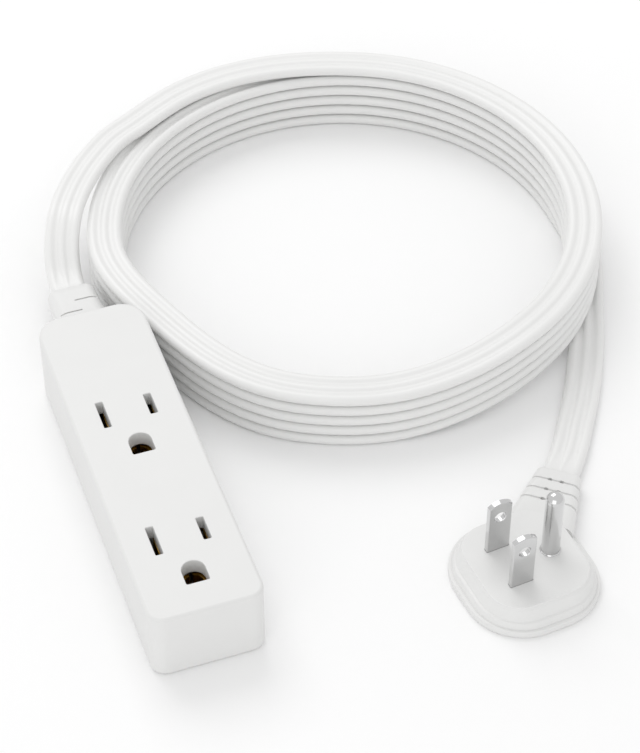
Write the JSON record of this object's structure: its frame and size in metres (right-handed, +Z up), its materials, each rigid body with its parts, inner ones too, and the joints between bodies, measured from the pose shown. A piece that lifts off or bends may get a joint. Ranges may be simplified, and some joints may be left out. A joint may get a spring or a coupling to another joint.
{
  "type": "extension cord",
  "caption": "Flat household extension cord: a slim socket block with grounded outlets, a cord wound in a round stack and a low flat plug whose cord leaves at its corner.",
  "frame": {"origin": "bottom centre of the socket block, on the surface that the block, the coil and the plug lie on", "axes": "+Y along the block towards its cord end, +Z up out of the outlets' face, +X towards the coil and the plug"},
  "size_m": [0.1676, 0.2202, 0.0285],
  "materials": {
    "abs_white": "satin moulded ABS",
    "pvc_white": "soft satin PVC",
    "nickel": "nickel-plated brass, bright",
    "brass": "plain stamped brass",
    "steel": "zinc-plated steel",
    "core_black": "black PVC insulation of the live core",
    "core_white": "white PVC insulation of the neutral core",
    "core_green": "green PVC insulation of the ground core",
    "copper": "bare copper strands"
  },
  "bodies": {
    "root": {"block_front_cover": "abs_white", "block_rear_cover": "abs_white", "block_screws": "steel", "block_live_bar": "brass", "block_neutral_bar": "brass", "block_ground_bar": "brass", "block_strain_relief": "pvc_white", "block_live_core": "core_black", "block_neutral_core": "core_white", "block_ground_core": "core_green", "block_copper_ends": "copper", "cord_lead_block": "pvc_white", "cord_coil": "pvc_white", "cord_lead_plug": "pvc_white", "plug_strain_relief": "pvc_white", "plug_back_plate": "pvc_white", "plug_body": "pvc_white", "plug_prong_carrier": "abs_white", "plug_live_blade": "nickel", "plug_neutral_blade": "nickel", "plug_ground_pin": "nickel", "plug_live_core": "core_black", "plug_neutral_core": "core_white", "plug_ground_core": "core_green", "plug_copper_ends": "copper"}
  },
  "joints": []
}
